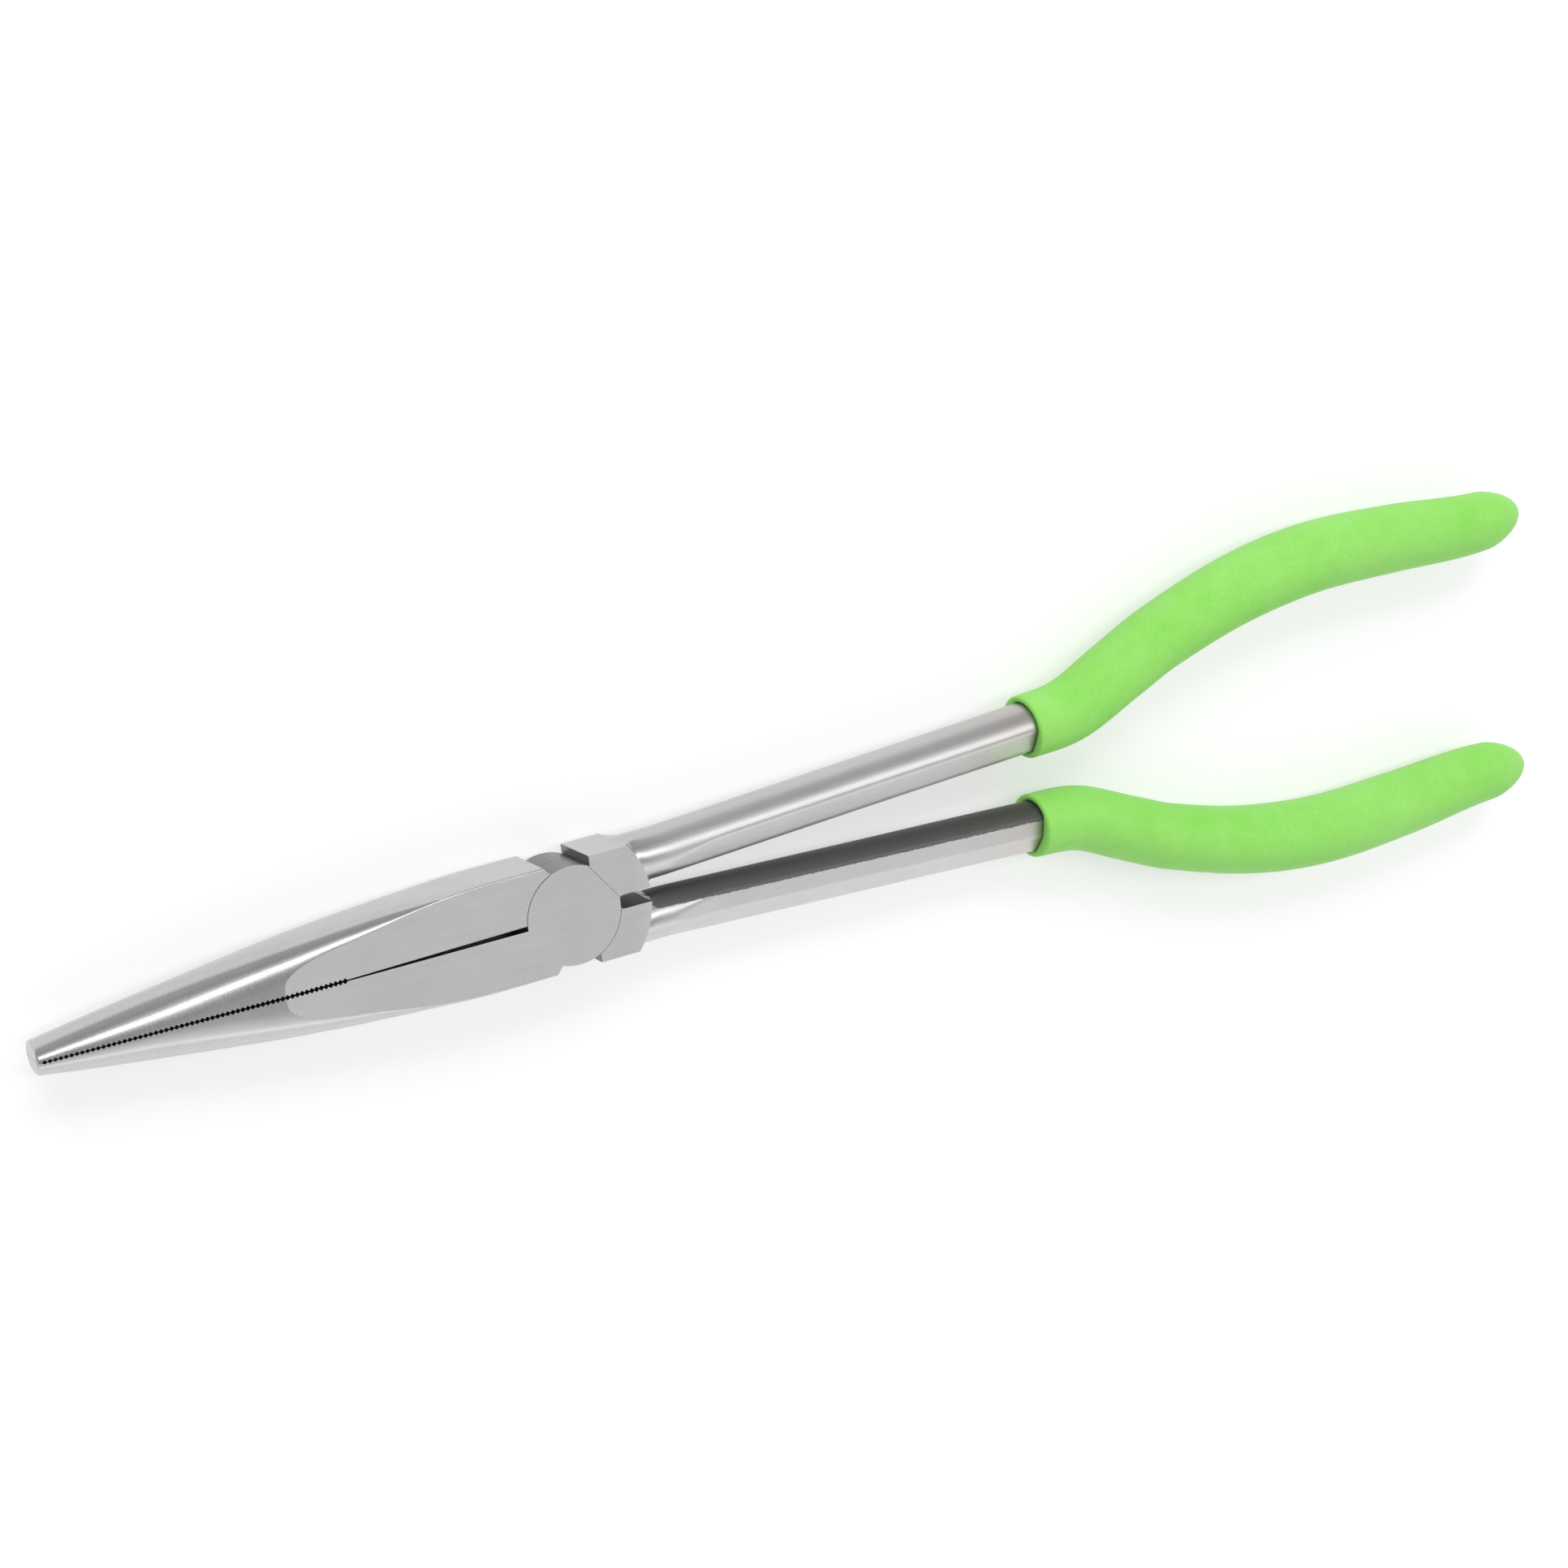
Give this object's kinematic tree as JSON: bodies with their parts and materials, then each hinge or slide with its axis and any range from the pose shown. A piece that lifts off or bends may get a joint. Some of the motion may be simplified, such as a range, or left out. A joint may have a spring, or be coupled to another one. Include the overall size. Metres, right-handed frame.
{
  "type": "needle nose pliers",
  "caption": "Long-reach needle nose pliers with serrated tapering jaws, a half-lap joint, long round shanks and bent vinyl-dipped handles that open on one hinge.",
  "frame": {"origin": "on the rivet's axis, in the plane of the lower cheek", "axes": "+X along the tool from the jaw tips to the grip ends, +Z along the rivet's axis from the lower cheek to the upper cheek, +Y towards the handle of the front lever"},
  "size_m": [0.2793, 0.0624, 0.0128],
  "materials": {
    "forged_steel": "satin ground forged steel, darker as-forged skin between the shanks",
    "rivet_steel": "ground flush with the cheeks",
    "grip_vinyl": "matte lime green dipped vinyl"
  },
  "bodies": {
    "back_half": {"back_lever": "forged_steel", "back_grip": "grip_vinyl", "rivet": "rivet_steel"},
    "front_half": {"front_lever": "forged_steel", "front_grip": "grip_vinyl"}
  },
  "joints": [
    {"name": "jaw_hinge", "type": "hinge", "parent": "back_half", "child": "front_half", "pos_m": [0, 0, 0.0046], "axis": [0, 0, 1], "range_deg": [0, 42]}
  ]
}
